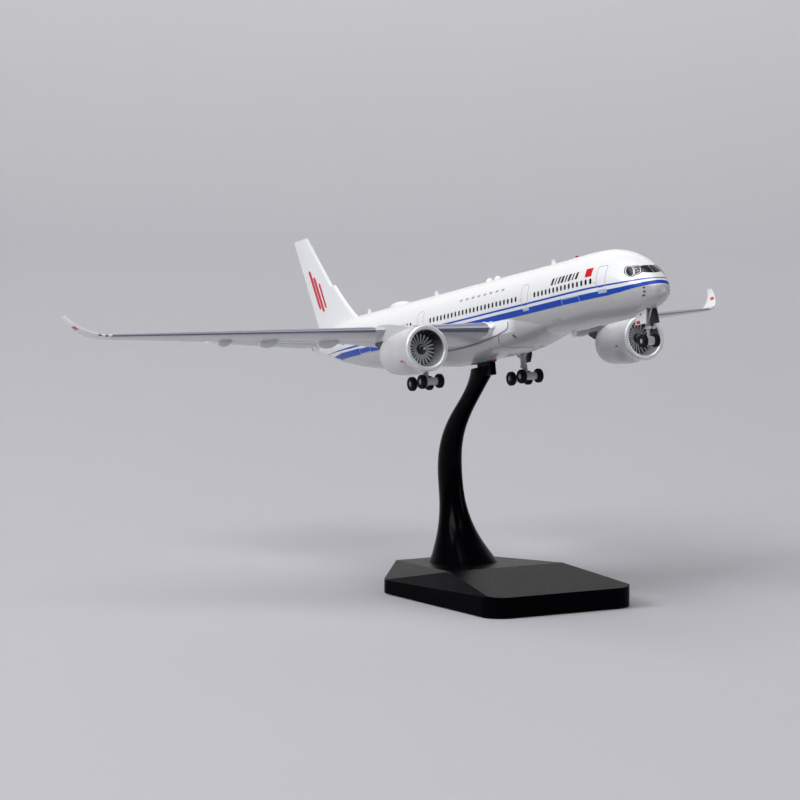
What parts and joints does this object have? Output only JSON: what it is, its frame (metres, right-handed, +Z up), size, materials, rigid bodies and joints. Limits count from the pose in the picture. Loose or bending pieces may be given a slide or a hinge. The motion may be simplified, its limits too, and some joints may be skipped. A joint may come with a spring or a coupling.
{
  "type": "desktop airliner model",
  "caption": "Twin-engine airliner display model with turning fans and landing wheels, lifting off a curved arm on a faceted base.",
  "frame": {"origin": "on the table, under the centre of the whole part's bounding box", "axes": "+X towards the nose and the pointed front edge of the base, +Y towards the port wing, +Z up. The aircraft is pitched 11 degrees nose-up on its stand."},
  "size_m": [0.3244, 0.3248, 0.1525],
  "materials": {
    "cowl_paint": "gloss",
    "dark_door_paint": "semi-gloss",
    "door_paint": "semi-gloss",
    "engine_metal": "satin",
    "fan_metal": "satin",
    "fitting_paint": "gloss",
    "gear_metal": "satin",
    "gloss_black": "high gloss",
    "grey_paint": "semi-gloss",
    "pad_rubber": "matt",
    "pin_steel": "satin",
    "pylon_paint": "semi-gloss",
    "red_lens": "gloss, translucent red",
    "screw_steel": "satin",
    "socket_plastic": "matt",
    "tyre": "matt",
    "white_paint": "gloss"
  },
  "bodies": {
    "stand": {"stand_base": "gloss_black", "stand_arm": "gloss_black", "stand_screw": "screw_steel", "stand_pads": "pad_rubber"},
    "aircraft": {"beacon_belly": "red_lens", "beacon_top": "red_lens", "belly_fairing": "grey_paint", "blade_antennas": "fitting_paint", "bogie_left": "gear_metal", "bogie_right": "gear_metal", "comm_domes": "fitting_paint", "engine_core_left": "engine_metal", "engine_core_right": "engine_metal", "fan_pin_left": "pin_steel", "fan_pin_right": "pin_steel", "fin": "white_paint", "flap_fairings_left": "grey_paint", "flap_fairings_right": "grey_paint", "fuselage": "white_paint", "main_door_left": "dark_door_paint", "main_door_right": "dark_door_paint", "main_leg_left": "gear_metal", "main_leg_right": "gear_metal", "nacelle_left": "cowl_paint", "nacelle_right": "cowl_paint", "nose_door_left": "door_paint", "nose_door_right": "door_paint", "nose_leg": "gear_metal", "peg_socket": "socket_plastic", "pylon_left": "pylon_paint", "pylon_right": "pylon_paint", "satcom_radome": "fitting_paint", "tailplane_left": "grey_paint", "tailplane_right": "grey_paint", "wing_left": "grey_paint", "wing_right": "grey_paint"},
    "fan_left": {"fan_left": "fan_metal"},
    "fan_right": {"fan_right": "fan_metal"},
    "nose_wheels": {"nose_axle": "gear_metal", "nose_hubs": "gear_metal", "nose_tyres": "tyre"},
    "front_wheels_left": {"front_axle_left": "gear_metal", "front_hubs_left": "gear_metal", "front_tyres_left": "tyre"},
    "rear_wheels_left": {"rear_axle_left": "gear_metal", "rear_hubs_left": "gear_metal", "rear_tyres_left": "tyre"},
    "front_wheels_right": {"front_axle_right": "gear_metal", "front_hubs_right": "gear_metal", "front_tyres_right": "tyre"},
    "rear_wheels_right": {"rear_axle_right": "gear_metal", "rear_hubs_right": "gear_metal", "rear_tyres_right": "tyre"}
  },
  "joints": [
    {"name": "aircraft_lift", "type": "slide", "parent": "stand", "child": "aircraft", "axis": [-0.192, 0, 0.9814], "range_m": [0, 0.012]},
    {"name": "fan_left_spin", "type": "hinge", "parent": "aircraft", "child": "fan_left", "pos_m": [0.05891, 0.052, 0.10892], "axis": [0.9814, 0, 0.192], "continuous": true},
    {"name": "fan_right_spin", "type": "hinge", "parent": "aircraft", "child": "fan_right", "pos_m": [0.05891, -0.052, 0.10892], "axis": [0.9814, 0, 0.192], "continuous": true},
    {"name": "nose_wheels_roll", "type": "hinge", "parent": "aircraft", "child": "nose_wheels", "pos_m": [0.15253, 0, 0.11786], "axis": [0, 1, 0], "continuous": true},
    {"name": "front_wheels_left_roll", "type": "hinge", "parent": "aircraft", "child": "front_wheels_left", "pos_m": [0.01739, 0.0243, 0.09091], "axis": [0, 1, 0], "continuous": true},
    {"name": "rear_wheels_left_roll", "type": "hinge", "parent": "aircraft", "child": "rear_wheels_left", "pos_m": [0.00837, 0.0243, 0.08915], "axis": [0, 1, 0], "continuous": true},
    {"name": "front_wheels_right_roll", "type": "hinge", "parent": "aircraft", "child": "front_wheels_right", "pos_m": [0.01739, -0.0243, 0.09091], "axis": [0, 1, 0], "continuous": true},
    {"name": "rear_wheels_right_roll", "type": "hinge", "parent": "aircraft", "child": "rear_wheels_right", "pos_m": [0.00837, -0.0243, 0.08915], "axis": [0, 1, 0], "continuous": true}
  ]
}
